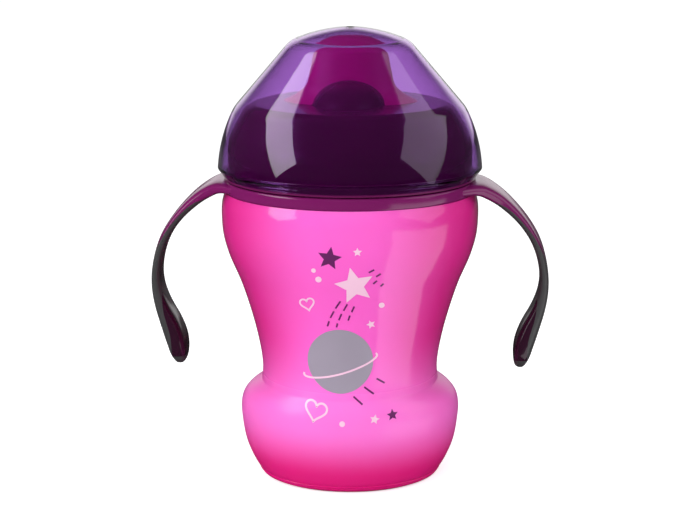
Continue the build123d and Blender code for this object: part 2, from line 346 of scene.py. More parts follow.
def crease(piece, degrees):
    """Smooth shading that stays sharp along edges steeper than the angle."""
    piece.data.shade_smooth()
    piece.data.set_sharp_from_angle(angle=radians(degrees))
    return piece


# ---------------------------------------------------------------- shader groups and materials

def node_group(name, inputs, outputs):
    """An empty shader group with named float or vector sockets."""
    group = bpy.data.node_groups.new(name, "ShaderNodeTree")
    for socket_name, kind, value in inputs:
        socket = group.interface.new_socket(socket_name, in_out="INPUT", socket_type=kind)
        if value is not None:
            socket.default_value = value
    for socket_name, kind in outputs:
        group.interface.new_socket(socket_name, in_out="OUTPUT", socket_type=kind)
    return group, group.nodes.new("NodeGroupInput"), group.nodes.new("NodeGroupOutput")


def make_moulded_finish():
    """Moulded plastic: faint flow mottling in the gloss and a fine skin relief."""
    group, given, result = node_group(
        "moulded_finish",
        [("Roughness", "NodeSocketFloat", 0.2), ("Mottle", "NodeSocketFloat", 0.05),
         ("Skin Size", "NodeSocketFloat", 900.0), ("Skin Depth", "NodeSocketFloat", 0.00001)],
        [("Roughness", "NodeSocketFloat"), ("Normal", "NodeSocketVector"), ("Mask", "NodeSocketFloat")],
    )
    nodes, links = group.nodes, group.links
    place = nodes.new("ShaderNodeTexCoord")
    flow = nodes.new("ShaderNodeTexNoise")
    flow.inputs["Scale"].default_value = 45.0
    flow.inputs["Detail"].default_value = 3.0
    links.new(place.outputs["Object"], flow.inputs["Vector"])
    centred = nodes.new("ShaderNodeMath")
    centred.operation = "SUBTRACT"
    centred.inputs[1].default_value = 0.5
    links.new(flow.outputs["Fac"], centred.inputs[0])
    spread = nodes.new("ShaderNodeMath")
    spread.operation = "MULTIPLY_ADD"
    links.new(centred.outputs[0], spread.inputs[0])
    links.new(given.outputs["Mottle"], spread.inputs[1])
    links.new(given.outputs["Roughness"], spread.inputs[2])
    links.new(spread.outputs[0], result.inputs["Roughness"])
    skin = nodes.new("ShaderNodeTexNoise")
    skin.inputs["Detail"].default_value = 2.0
    links.new(place.outputs["Object"], skin.inputs["Vector"])
    links.new(given.outputs["Skin Size"], skin.inputs["Scale"])
    relief = nodes.new("ShaderNodeBump")
    relief.inputs["Strength"].default_value = 1.0
    links.new(given.outputs["Skin Depth"], relief.inputs["Distance"])
    links.new(skin.outputs["Fac"], relief.inputs["Height"])
    links.new(relief.outputs["Normal"], result.inputs["Normal"])
    links.new(flow.outputs["Fac"], result.inputs["Mask"])
    return group


MOULDED_FINISH = make_moulded_finish()


def shaded(name, color, roughness, mottle=0.05, skin_size=900.0, skin_depth=0.000004, tone=0.06, **sockets):
    """A moulded material: its colour drifts a little with the flow of the plastic."""
    material = bpy.data.materials.new(name)
    material.use_nodes = True
    nodes, links = material.node_tree.nodes, material.node_tree.links
    shader = nodes["Principled BSDF"]
    for socket, value in sockets.items():
        shader.inputs[socket.replace("_", " ")].default_value = value
    finish = nodes.new("ShaderNodeGroup")
    finish.node_tree = MOULDED_FINISH
    finish.inputs["Roughness"].default_value = roughness
    finish.inputs["Mottle"].default_value = mottle
    finish.inputs["Skin Size"].default_value = skin_size
    finish.inputs["Skin Depth"].default_value = skin_depth
    links.new(finish.outputs["Roughness"], shader.inputs["Roughness"])
    links.new(finish.outputs["Normal"], shader.inputs["Normal"])
    drift = nodes.new("ShaderNodeMix")
    drift.data_type = "RGBA"
    drift.inputs["A"].default_value = (*[c * (1 - tone) for c in color], 1)
    drift.inputs["B"].default_value = (*[min(1.0, c * (1 + tone)) for c in color], 1)
    links.new(finish.outputs["Mask"], drift.inputs["Factor"])
    links.new(drift.outputs["Result"], shader.inputs["Base Color"])
    return material


def mix_color(nodes, links, factor, a, b):
    """A colour mix node between two colours or sockets, by a factor socket."""
    mix = nodes.new("ShaderNodeMix")
    mix.data_type = "RGBA"
    links.new(factor, mix.inputs["Factor"])
    for key, value in (("A", a), ("B", b)):
        if isinstance(value, tuple):
            mix.inputs[key].default_value = (*value, 1)
        else:
            links.new(value, mix.inputs[key])
    return mix.outputs["Result"]


def ramp(nodes, links, value, low, high):
    """A smooth step from 0 at low to 1 at high."""
    step = nodes.new("ShaderNodeMapRange")
    step.interpolation_type = "SMOOTHSTEP"
    step.inputs["From Min"].default_value = low
    step.inputs["From Max"].default_value = high
    links.new(value, step.inputs["Value"])
    return step.outputs["Result"]


def calc(nodes, links, operation, first, second):
    """A maths node on two sockets or numbers."""
    node = nodes.new("ShaderNodeMath")
    node.operation = operation
    for socket, value in zip(node.inputs, (first, second)):
        if isinstance(value, (int, float)):
            socket.default_value = value
        else:
            links.new(value, socket)
    return node.outputs[0]


# Plain pink, then painted light that pales it over the belly and painted shade that deepens it round the
# sides and at the foot.
PINK_FRONT = (0.98, 0.13, 0.60)
PINK_BELLY_PAINTED_LIGHT = (1.0, 0.18, 0.68)
PINK_SIDE_PAINTED_SHADE = (0.66, 0.022, 0.24)
PINK_FOOT_PAINTED_SHADE = (0.80, 0.004, 0.22)
CUP_ROUGHNESS = 0.12
BELLY_ROUGHER = 0.20
BELLY_LIGHT_OVER_SIDE_SHADE = 0.80
BELLY_LIGHT_AND_SATIN_SPAN = (0.050, 0.024)
FOOT_SHADE_SPAN = (0.022, 0.005)
SIDE_SHADE_SPAN = (0.20, 0.95)


def make_cup_pink():
    """Gloss pink polypropylene that lets some light through. Painted shade deepens the pink round the sides
    and at the foot, painted light pales it over the belly, and the belly is less glossy."""
    material = shaded("cup_pink", PINK_FRONT, CUP_ROUGHNESS, Subsurface_Weight=0.15, IOR=1.5,
                      Subsurface_Radius=(1.0, 0.25, 0.6), Subsurface_Scale=0.003)
    nodes, links = material.node_tree.nodes, material.node_tree.links
    shader = nodes["Principled BSDF"]
    # Painted shade round the sides, weighted by how far each point turns to the side.
    side = nodes.new("ShaderNodeAttribute")
    side.attribute_name = "side_shade_weight"
    place = nodes.new("ShaderNodeTexCoord")
    split = nodes.new("ShaderNodeSeparateXYZ")
    links.new(place.outputs["Object"], split.inputs["Vector"])
    height = split.outputs["Z"]
    upper = shader.inputs["Base Color"].links[0].from_socket
    # Painted light that pales the pink over the belly; the same mask makes the belly rougher.
    belly = ramp(nodes, links, height, *BELLY_LIGHT_AND_SATIN_SPAN)
    color = mix_color(nodes, links, belly, upper, PINK_BELLY_PAINTED_LIGHT)
    turned = ramp(nodes, links, side.outputs["Fac"], *SIDE_SHADE_SPAN)
    # Over the belly the painted light lifts most of the painted side shade.
    evened = calc(nodes, links, "MULTIPLY", belly, BELLY_LIGHT_OVER_SIDE_SHADE)
    kept = calc(nodes, links, "SUBTRACT", 1.0, evened)
    color = mix_color(nodes, links, calc(nodes, links, "MULTIPLY", turned, kept), color, PINK_SIDE_PAINTED_SHADE)
    # Painted shade that deepens the pink towards the foot.
    color = mix_color(nodes, links, ramp(nodes, links, height, *FOOT_SHADE_SPAN), color, PINK_FOOT_PAINTED_SHADE)
    rougher = calc(nodes, links, "MULTIPLY", belly, BELLY_ROUGHER)
    satin = calc(nodes, links, "ADD", CUP_ROUGHNESS, rougher)
    links.new(satin, shader.inputs["Roughness"])
    links.new(color, shader.inputs["Base Color"])
    return material


PURPLE_RING = (0.17, 0.008, 0.10)
# Painted shade for the paddles, and the heights over which it comes in.
PURPLE_PADDLE_PAINTED_SHADE = (0.026, 0.005, 0.017)
PADDLE_SHADE_SPAN = (0.084, 0.060)


def make_ring_purple():
    """Gloss purple, darkened down the arms towards the paddles by painted shade."""
    material = shaded("ring_purple", PURPLE_RING, 0.16, mottle=0.05, IOR=1.5)
    nodes, links = material.node_tree.nodes, material.node_tree.links
    shader = nodes["Principled BSDF"]
    place = nodes.new("ShaderNodeTexCoord")
    split = nodes.new("ShaderNodeSeparateXYZ")
    links.new(place.outputs["Object"], split.inputs["Vector"])
    upper = shader.inputs["Base Color"].links[0].from_socket
    # Painted shade, darker down the arms towards the paddles.
    deeper = ramp(nodes, links, split.outputs["Z"], *PADDLE_SHADE_SPAN)
    links.new(mix_color(nodes, links, deeper, upper, PURPLE_PADDLE_PAINTED_SHADE), shader.inputs["Base Color"])
    return material


VIOLET = (0.60, 0.36, 0.76)


def make_overcap_violet():
    """Clear violet plastic. Rays from lamps pass it, so that they light what it covers."""
    material = shaded("overcap_violet", VIOLET, 0.03, mottle=0.02, skin_depth=0.0000005, tone=0.02,
                      IOR=1.46, Transmission_Weight=1.0)
    nodes, links = material.node_tree.nodes, material.node_tree.links
    shader = nodes["Principled BSDF"]
    through_light = nodes.new("ShaderNodeBsdfTransparent")
    through_light.inputs["Color"].default_value = (*[sqrt(c) for c in VIOLET], 1)
    path = nodes.new("ShaderNodeLightPath")
    pick = nodes.new("ShaderNodeMixShader")
    links.new(path.outputs["Is Shadow Ray"], pick.inputs["Fac"])
    links.new(shader.outputs["BSDF"], pick.inputs[1])
    links.new(through_light.outputs["BSDF"], pick.inputs[2])
    links.new(pick.outputs["Shader"], nodes["Material Output"].inputs["Surface"])
    return material


CUP_PINK = make_cup_pink()
OVERCAP_VIOLET = make_overcap_violet()
RING_PURPLE = make_ring_purple()
GRIP_GREY = shaded("grip_grey", (0.045, 0.044, 0.046), 0.5, mottle=0.12, skin_size=2600.0,
                   skin_depth=0.00002, tone=0.12)
LID_PURPLE = shaded("lid_purple", (0.125, 0.008, 0.070), 0.2, mottle=0.05, IOR=1.45)
SPOUT_MAGENTA = shaded("spout_magenta", (0.74, 0.004, 0.27), 0.38, mottle=0.08, skin_size=1500.0,
                       skin_depth=0.00001, tone=0.05, Subsurface_Weight=0.1,
                       Subsurface_Radius=(1.0, 0.1, 0.4), Subsurface_Scale=0.002)
VALVE_CLEAR = shaded("valve_clear", (0.82, 0.83, 0.85), 0.3, mottle=0.1, Subsurface_Weight=0.3,
                     Subsurface_Radius=(1.0, 1.0, 1.0), Subsurface_Scale=0.002)
GASKET_CLEAR = shaded("gasket_clear", (0.86, 0.86, 0.84), 0.35, mottle=0.1, Subsurface_Weight=0.3,
                      Subsurface_Radius=(1.0, 1.0, 1.0), Subsurface_Scale=0.002)
INK_DARK = shaded("ink_dark", (0.13, 0.012, 0.11), 0.3, mottle=0.1)
INK_PALE = shaded("ink_pale", (0.90, 0.56, 0.73), 0.3, mottle=0.1)
INK_GREY = shaded("ink_grey", (0.42, 0.37, 0.46), 0.28, mottle=0.1, tone=0.1, Metallic=0.25)


# ---------------------------------------------------------------- cup body

def cup_wall_at(height):
    """Half width and half depth of the cup's outer wall at a height."""
    stations = CUP_WALL_CURVE
    for (z0, a0, b0), (z1, a1, b1) in zip(stations, stations[1:]):
        if z0 <= height <= z1:
            t = (height - z0) / (z1 - z0) if z1 > z0 else 0.0
            return a0 + t * (a1 - a0), b0 + t * (b1 - b0)
    return stations[-1][1:]


FOOT_CURVE = [tuple(p) for p in through(FOOT_STATIONS)]
WAIST_CURVE = [tuple(p) for p in through(WAIST_STATIONS, 10)]
CUP_WALL_CURVE = FOOT_CURVE + WAIST_CURVE[1:]


def make_cup_body():
    """One closed wall: recess, foot with its seam, pinched waist, threaded neck and hollow."""
    rings = [oval_ring(RECESS_DEPTH, r, r) for r in (2.0, 8.0, 14.0, RECESS_RADIUS - 0.3)]
    rings.append(oval_ring(RECESS_DEPTH - 0.3, RECESS_RADIUS, RECESS_RADIUS))
    rings.append(oval_ring(0.15, RECESS_RADIUS, RECESS_RADIUS))
    rings.append(oval_ring(0.0, RECESS_RADIUS + 0.2, RECESS_RADIUS + 0.2))
    for height, a, b in FOOT_CURVE:
        if abs(height - SEAM_HEIGHT) > 1.5 * SEAM_HALF_WIDTH:
            rings.append(oval_ring(height, a, b))
            continue
        for step, depth in ((-1, 0), (-0.5, SEAM_DEPTH), (0.5, SEAM_DEPTH), (1, 0)):
            rings.append(oval_ring(height + step * SEAM_HALF_WIDTH, a - depth, b - depth))
    rings += [oval_ring(*p) for p in WAIST_CURVE[1:]]
    shoulder = WAIST_STATIONS[-1][0]
    rings.append(oval_ring(shoulder, NECK_RADIUS + 0.3, NECK_RADIUS + 0.3))
    height = shoulder + 0.3
    while height < NECK_TOP - 0.4:
        rings.append(threaded_ring(height, NECK_RADIUS, THREAD_START, NECK_RIDGE))
        height += THREAD_STEP
    for inset, drop in ((0.0, 0.4), (0.12, 0.12), (0.4, 0.0)):
        rings.append(oval_ring(NECK_TOP - drop, NECK_RADIUS - inset, NECK_RADIUS - inset))
    for inset, drop in ((0.4, 0.0), (0.12, 0.12), (0.0, 0.4), (0.0, NECK_TOP - shoulder + 2.5)):
        rings.append(oval_ring(NECK_TOP - drop, NECK_BORE + inset, NECK_BORE + inset))
    for height, a, b in reversed(CUP_WALL_CURVE[2 * SPAN_STEPS + 6::3]):
        if height < shoulder - 3.5:
            rings.append(oval_ring(height, a - CUP_WALL, b - CUP_WALL))
    for spread, rise in ((27.6, 0.8), (25.5, 0.2), (20.0, 0.0), (10.0, 0.0), (2.0, 0.0)):
        rings.append(oval_ring(HOLLOW_FLOOR + rise, spread, spread))
    piece = new_piece("cup_wall", stacked(rings), CUP_PINK)
    # Weight of the cup's painted side shade: how far each point turns to the side.
    side_shade_weight = piece.data.attributes.new("side_shade_weight", "FLOAT", "POINT")
    for vertex in piece.data.vertices:
        x, y = vertex.co.x, vertex.co.y
        side_shade_weight.data[vertex.index].value = abs(x) / max(hypot(x, y), 1e-6)
    crease(piece, 50)
    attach(piece, "cup")
    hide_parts("cup_body")
    return piece


# ---------------------------------------------------------------- print on the cup's front

def front_point(x, z, lift):
    """A point on the cup's front above (x, z), lifted off the wall by lift (mm)."""
    half_width, half_depth = cup_wall_at(z)
    y = -half_depth * sqrt(1 - (x / half_width) ** 2)
    outwards = Vector((x / half_width ** 2, y / half_depth ** 2, 0)).normalized()
    return (Vector((x, y, z)) + outwards * lift) * MM


def star_patch(cx, cz, radius, lean):
    """A five-pointed star, as a fan of corners round its centre."""
    rim = []
    for i in range(10):
        reach = radius if i % 2 == 0 else radius * 0.46
        turn = radians(90 + 36 * i + lean)
        rim.append((cx + reach * cos(turn), cz + reach * sin(turn)))
    return [((cx, cz), rim[i], rim[(i + 1) % 10]) for i in range(10)]


def disc_patch(cx, cz, radius, sides=48):
    """A round spot: an inner fan and rings round it."""
    bands = max(1, round(radius / 1.2))
    quads = []
    for band in range(bands):
        r0, r1 = radius * band / bands, radius * (band + 1) / bands
        for i in range(sides):
            t0, t1 = 2 * pi * i / sides, 2 * pi * (i + 1) / sides
            near = [(cx + r0 * cos(t1), cz + r0 * sin(t1)), (cx + r0 * cos(t0), cz + r0 * sin(t0))]
            far = [(cx + r1 * cos(t0), cz + r1 * sin(t0)), (cx + r1 * cos(t1), cz + r1 * sin(t1))]
            quads.append(((cx, cz), *far) if band == 0 else (*near, *far))
    return quads


def stroke_patch(path, width, closed=False):
    """A line of a width along a path."""
    points = [Vector(p) for p in path]
    count = len(points)
    edges = []
    for i, point in enumerate(points):
        ahead = points[(i + 1) % count] if closed or i + 1 < count else point
        behind = points[i - 1] if closed or i else point
        run = (ahead - behind).normalized()
        across = Vector((-run.y, run.x)) * width / 2
        edges.append((tuple(point + across), tuple(point - across)))
    last = count if closed else count - 1
    return [(edges[i][0], edges[(i + 1) % count][0], edges[(i + 1) % count][1], edges[i][1])
            for i in range(last)]


def heart_path(cx, cz, size, lean):
    """The outline of a heart."""
    path = []
    for i in range(40):
        t = 2 * pi * i / 40
        x = size * 16 * sin(t) ** 3 / 17
        z = size * (13 * cos(t) - 5 * cos(2 * t) - 2 * cos(3 * t) - cos(4 * t)) / 17
        path.append((cx + x * cos(lean) - z * sin(lean), cz + x * sin(lean) + z * cos(lean)))
    return path


def hoop_path(cx, cz, half_length, half_height, lean, start, end):
    """Part of a leaning ellipse."""
    path = []
    for i in range(49):
        t = radians(start + (end - start) * i / 48)
        x, z = half_length * cos(t), half_height * sin(t)
        path.append((cx + x * cos(lean) - z * sin(lean), cz + x * sin(lean) + z * cos(lean)))
    return path


def dash_path(x, z, length, degrees):
    """A short straight stroke about a point."""
    run = Vector((cos(radians(degrees)), sin(radians(degrees)))) * length / 2
    centre = Vector((x, z))
    return [tuple(centre - run), tuple(centre - run * 0.3), tuple(centre + run * 0.3), tuple(centre + run)]


# Ink: how far its faces stand off and sink into the wall, its longest edge, and the print's
# place along X.
INK_LIFT = 0.05
INK_SINK = 0.12
INK_EDGE = 1.6
PRINT_SHIFT = 1.8


def ink(name, patches, material, lift=INK_LIFT):
    """A film of ink over the cup's front, with closed edges."""
    builder = bmesh.new()
    for corners in patches:
        builder.faces.new([builder.verts.new((x + PRINT_SHIFT, 0.0, z)) for x, z in corners])
    bmesh.ops.remove_doubles(builder, verts=builder.verts, dist=0.001)
    for _ in range(3):
        long_edges = [e for e in builder.edges if e.calc_length() > INK_EDGE]
        if long_edges:
            bmesh.ops.subdivide_edges(builder, edges=long_edges, cuts=1, use_grid_fill=True)
    top = list(builder.verts)
    grown = bmesh.ops.extrude_face_region(builder, geom=list(builder.faces), use_keep_orig=True)
    raised = [g for g in grown["geom"] if isinstance(g, bmesh.types.BMVert)]
    for vertex in raised:
        vertex.co = front_point(vertex.co.x, vertex.co.z, lift)
    for vertex in top:
        vertex.co = front_point(vertex.co.x, vertex.co.z, -INK_SINK)
    piece = new_piece(name, builder, material)
    crease(piece, 40)
    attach(piece, "cup")
    return piece


def make_print():
    """Stars, hearts, dots and dashes round a plain ringed disc."""
    disc_x, disc_z, disc_radius = -3.0, 42.0, 9.8
    lean = radians(17)
    ink("print_disc", disc_patch(disc_x, disc_z, disc_radius, 64), INK_GREY)
    hoop = hoop_path(disc_x, disc_z - 1.5, 11.4, 2.4, lean, 168, 372)
    ink("print_hoop", stroke_patch(hoop, 0.55), INK_PALE, lift=INK_LIFT * 2)
    dark = star_patch(-5.6, 74.6, 3.7, -9) + star_patch(12.6, 25.5, 1.7, 6)
    for x, z, length, slope in (
        (-3.4, 59.8, 2.8, 58), (-5.2, 56.6, 2.4, 64), (-6.4, 53.6, 1.7, 72),
        (-1.2, 59.0, 2.4, 62), (-2.8, 55.9, 2.2, 68), (-3.8, 53.2, 1.3, 76),
        (1.0, 58.4, 2.0, 66), (-0.2, 55.6, 1.7, 72),
        (2.4, 30.2, 3.6, -42), (5.6, 33.0, 3.6, -38), (9.0, 35.6, 2.8, -34),
        (6.6, 70.6, 1.8, 28), (8.6, 69.2, 1.6, 34), (7.6, 67.0, 1.5, 40), (9.6, 66.0, 1.2, 44),
    ):
        dark += stroke_patch(dash_path(x, z, length, slope), 0.5)
    ink("print_dark", dark, INK_DARK)
    pale = star_patch(1.6, 66.0, 6.0, 12) + star_patch(2.6, 76.6, 1.4, 0) + star_patch(6.2, 53.4, 1.4, 20)
    pale += star_patch(7.4, 24.6, 1.5, -12)
    for x, z, radius in ((-10.4, 70.6, 0.7), (-9.0, 67.8, 0.95), (9.4, 59.4, 0.85), (-2.2, 23.4, 0.85)):
        pale += disc_patch(x, z, radius, 16)
    pale += stroke_patch(heart_path(-12.6, 59.6, 2.3, 0.25), 0.5, closed=True)
    pale += stroke_patch(heart_path(-10.2, 27.0, 3.5, -0.22), 0.6, closed=True)
    ink("print_pale", pale, INK_PALE)


# ---------------------------------------------------------------- handle ring, arms and grips

def arm_solid(name, side, material, grow=0.0):
    """One handle arm, swept along its stations."""
    rings = []
    for x, z, slope, half_thickness, half_width in through(ARM_STATIONS, 8):
        run_x, run_z = side * cos(radians(slope)), sin(radians(slope))
        ring = []
        for i in range(ARM_SIDES):
            turn = 2 * pi * i / ARM_SIDES
            across = (half_width + grow) * power(cos(turn), 2 / ARM_SQUARENESS)
            off = (half_thickness + grow) * power(sin(turn), 2 / ARM_SQUARENESS)
            ring.append((side * x - run_z * off, across, z + run_x * off))
        rings.append(ring)
    return new_piece(name, stacked(rings), material)


def grip_band(side, grow):
    """The solid that parts rubber from plastic on one arm."""
    outline = [tuple(p) for p in through(GRIP_OUTER, 8)] + GRIP_TIP
    outline += [tuple(p) for p in through(GRIP_INNER, 8)]
    band = prism("band", [(side * x, z) for x, z in outline], -65, 65)
    core = GRIP_CORE - grow
    block = [(-70, GRIP_TIP_TOP + grow), (70, GRIP_TIP_TOP + grow), (70, 95), (-70, 95)]
    return carved(band, prism("core", block, -core, core), "DIFFERENCE")


def make_grips():
    """Grey rubber in the arms' edges and round their tips."""
    for side, name in ((1, "right"), (-1, "left")):
        grip = arm_solid(f"rubber_{name}", side, GRIP_GREY)
        carved(grip, grip_band(side, 0.0), "INTERSECT")
        crease(grip, 38)
        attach(grip, "cup")
        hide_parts(f"grip_{name}")


def make_handle_ring():
    """The ring with both arms, cleared for the cup, the overcap and the neck."""
    e = RING_EDGE
    outline = [(RING_BORE - 1, RING_FOOT), (RING_RADIUS - e, RING_FOOT)]
    outline += [
        (RING_RADIUS - e + e * sin(t * pi / 12), RING_FOOT + e - e * cos(t * pi / 12)) for t in range(1, 7)
    ]
    outline += [
        (RING_RADIUS - e + e * cos(t * pi / 12), RING_TOP - e + e * sin(t * pi / 12)) for t in range(0, 7)
    ]
    outline.append((RING_BORE - 1, RING_TOP))
    piece = round_bar(outline, "handles", RING_PURPLE)
    for side in (1, -1):
        carved(piece, arm_solid("arm", side, None), "UNION")
    low, top = RING_FOOT - 12, LID_SEAT
    for radius, foot, head in (
        (CUP_CLEARANCE, low, RING_FOOT), (OVERCAP_CLEARANCE, RING_TOP, top), (RING_BORE, low, top),
    ):
        room = [(0.01, foot), (radius, foot), (radius, head), (0.01, head)]
        carved(piece, round_bar(room, "clear", None), "DIFFERENCE")
    for side in (1, -1):
        carved(piece, grip_band(side, GRIP_PARTING), "DIFFERENCE")
    crease(piece, 38)
    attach(piece, "cup")
    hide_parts("handle_ring")
    return piece


# ---------------------------------------------------------------- lid

def mound_height(x, y, inset):
    """Height of the mound's surface at a point, or below the deck where it has ended."""
    centre = MOUND_TOP - MOUND_RADIUS
    flat = 1 - ((y - MOUND_Y) / (MOUND_LENGTH - inset)) ** 2 - (x / (MOUND_RADIUS - inset)) ** 2
    return centre + (MOUND_RADIUS - inset) * sqrt(max(flat, 0.0)) if flat > 0 else centre


def deck_ring(radius, level, inset):
    """Points round the deck at a radius, raised over the mound with a small fillet."""
    ring = []
    for i in range(AROUND):
        turn = 2 * pi * i / AROUND
        x, y = radius * cos(turn), radius * sin(turn)
        rise = mound_height(x, y, inset) - level
        blend = max(0.0, MOUND_FILLET - abs(rise)) ** 2 / (4 * MOUND_FILLET)
        ring.append((x, y, level + max(rise, 0.0) + blend))
    return ring


def make_lid():
    """The screw lid: skirt with its flange, shoulder, deck with the mound, and inside thread."""
    thread_start = THREAD_START - THREAD_PITCH / 2
    rings = [oval_ring(z, r, r) for r, z in (
        (LID_BORE + 0.2, LID_FOOT), (LID_FLANGE - 0.25, LID_FOOT), (LID_FLANGE, LID_FOOT + 0.2),
        (LID_FLANGE, LID_FLANGE_TOP - 0.2), (LID_FLANGE - 0.2, LID_FLANGE_TOP),
        (LID_RADIUS + 0.3, LID_FLANGE_TOP), (LID_RADIUS, LID_FLANGE_TOP + 0.3),
    )]
    rings += [oval_ring(z, r, r) for r, z in line((LID_RADIUS, 94.5), LID_SHOULDER[0], 6)[:-1]]
    rings += [oval_ring(p[1], p[0], p[0]) for p in through(LID_SHOULDER)]
    radius = LID_SHOULDER[-1][0] - 0.5
    while radius > 0.3:
        rings.append(deck_ring(radius, LID_DECK, 0.0))
        radius -= 0.4
    under = LID_DECK - LID_WALL
    inner = [deck_ring(r, under, LID_WALL) for r in (0.6 * step for step in range(1, 52))]
    inner += [oval_ring(z, r, r) for r, z in (
        (LID_CAVITY, under), (LID_CAVITY, LID_SEAT + 0.2), (LID_CAVITY + 0.2, LID_SEAT),
        (LID_BORE - 0.2, LID_SEAT), (LID_BORE, LID_SEAT - 0.2),
    )]
    height = LID_SEAT - 0.4
    while height > LID_FOOT + 0.3:
        inner.append(threaded_ring(height, LID_BORE, thread_start, -NECK_RIDGE))
        height -= THREAD_STEP
    builder = bmesh.new()
    rows = corner_rows(builder, rings + inner)
    last_outside = len(rings) - 1
    for index, (lower, upper) in enumerate(zip(rows, rows[1:] + rows[:1])):
        if index != last_outside:
            bridge(builder, lower, upper)
    close_end(builder, rows[last_outside])
    close_end(builder, rows[last_outside + 1])
    piece = new_piece("screw_lid", builder, LID_PURPLE)
    stem = [oval_ring(z, *STEM, SPOUT_Y, BORE_SIDES) for z in (LID_SEAT, CAP_TOP)]
    carved(piece, new_piece("stem_hole", stacked(stem), None), "DIFFERENCE")
    crease(piece, 40)
    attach(piece, "lid")
    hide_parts("lid")
    return piece


# ---------------------------------------------------------------- spout

def make_spout():
    """The soft spout: flared foot over the deck, flattened tip with its slot, open bore."""
    outside = [oval_ring(z, a, b, SPOUT_Y, SPOUT_SIDES) for z, a, b in through(SPOUT_STATIONS, 8)]
    z, a, b = SPOUT_STATIONS[-1]
    outside.append(oval_ring(z + 0.08, a * 0.6, b * 0.6, SPOUT_Y, SPOUT_SIDES))
    piece = new_piece("soft_spout", stacked(outside), SPOUT_MAGENTA)
    centre = MOUND_TOP - MOUND_RADIUS
    mound_rings = []
    for step in range(1, 48):
        turn = pi * step / 48
        y = MOUND_Y + MOUND_LENGTH * cos(turn)
        r = MOUND_RADIUS * sin(turn)
        mound_rings.append([
            (r * cos(2 * pi * i / BORE_SIDES), y, centre + r * sin(2 * pi * i / BORE_SIDES))
            for i in range(BORE_SIDES)
        ])
    carved(piece, new_piece("mound_cutter", stacked(mound_rings), None), "DIFFERENCE")
    under = LID_DECK - LID_WALL - COLLAR
    collar = (STEM[0] + COLLAR, STEM[1] + COLLAR)
    for name, size, head in (("stem", STEM, STEM_HEAD), ("collar", collar, LID_DECK - LID_WALL)):
        bar = [oval_ring(z, *size, SPOUT_Y, SPOUT_SIDES) for z in (under, head)]
        carved(piece, new_piece(name, stacked(bar), SPOUT_MAGENTA), "UNION")
    bore = [oval_ring(BORE_FOOT - 2, *BORE_STATIONS[0][1:], SPOUT_Y, BORE_SIDES)]
    bore += [oval_ring(z, a, b, SPOUT_Y, BORE_SIDES) for z, a, b in through(BORE_STATIONS)]
    carved(piece, new_piece("bore", stacked(bore), None), "DIFFERENCE")
    slot = []
    for height in (LID_DECK + 10, CAP_TOP):
        slot.append([
            (SLOT_HALF_LENGTH * power(cos(t), 0.5), SPOUT_Y + SLOT_HALF_WIDTH * power(sin(t), 0.7), height)
            for t in (2 * pi * i / 48 for i in range(48))
        ])
    carved(piece, new_piece("slot", stacked(slot), None), "DIFFERENCE")
    crease(piece, 42)
    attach(piece, "lid")
    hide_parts("spout")
    return piece


# ---------------------------------------------------------------- overcap

def make_overcap():
    """The clear cap: dome, straight cone, near-upright wall and a turned-in lip, one wall thick."""
    dome = arc((CAP_VENT + 0.15, CAP_TOP - 0.02), CAP_DOME_MID, CAP_DOME, 24)
    cone = line(CAP_DOME, CAP_CREASE, 14)
    side = arc(CAP_CREASE, CAP_SIDE_BOW, CAP_CORNER, 18)
    outside = rounded(rounded(dome, cone, CAP_DOME_ROUND), side, CAP_CREASE_ROUND)
    outside += line(CAP_CORNER, CAP_LIP, 5)[1:]
    dome_edge = (CAP_DOME[0] - CAP_WALL / 2, CAP_DOME[1] - CAP_WALL)
    crease_in = (CAP_CREASE[0] - CAP_WALL, CAP_CREASE[1] - CAP_WALL / 2)
    corner_in = (CAP_CORNER[0] - CAP_WALL, CAP_CORNER[1] + CAP_WALL / 2)
    inner_dome = arc((CAP_VENT + 0.15, CAP_TOP - CAP_WALL - 0.02),
                     (dome_edge[0] / 2, CAP_DOME_MID[1] - CAP_WALL), dome_edge, 24)
    inner_side = arc(crease_in, (CAP_SIDE_BOW[0] - CAP_WALL, CAP_SIDE_BOW[1]), corner_in, 18)
    inside = rounded(rounded(inner_dome, line(dome_edge, crease_in, 14), CAP_DOME_ROUND - CAP_WALL),
                     inner_side, CAP_CREASE_ROUND - CAP_WALL)
    inside += [(CAP_LIP_BORE, CAP_LIP[1] + CAP_WALL), (CAP_LIP_BORE, CAP_LIP[1] + 0.2),
               (CAP_LIP_BORE + 0.2, CAP_LIP[1])]
    vent = [(CAP_VENT, CAP_TOP - CAP_WALL + 0.1), (CAP_VENT, CAP_TOP - 0.15)]
    outline = vent + outside + list(reversed(inside))
    piece = round_bar(outline, "clear_cap", OVERCAP_VIOLET, CAP_SIDES)
    crease(piece, 34)
    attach(piece, "overcap")
    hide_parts("overcap")
    return piece


# ---------------------------------------------------------------- hidden pieces, kept from the CAD

def finish_hidden_pieces():
    """The valve and the gasket keep their CAD shape and take their silicone."""
    for node, material in (("valve", VALVE_CLEAR), ("gasket", GASKET_CLEAR)):
        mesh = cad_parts[node].data
        mesh.materials.clear()
        mesh.materials.append(material)


# ---------------------------------------------------------------- stage, lamps, camera

CAMERA_DISTANCE = 0.760
CAMERA_HEIGHT = 0.220
CAMERA_TURN = 3.3
CAMERA_PITCH = 11.42
CAMERA_LENS = 129.7
SENSOR_WIDTH = 36.0

# Floor: its colour, its colour in gloss before the cup, where along Y that turns to white
# in gloss, and how much it is lifted where it is seen straight.
FLOOR_WHITE = (0.80, 0.80, 0.81)
FLOOR_BEFORE = (0.05, 0.05, 0.05)
FLOOR_SPAN = (0.20, 0.90)
FLOOR_LIFT = 0.62
FLOOR_HALF_SIZE = 20.0

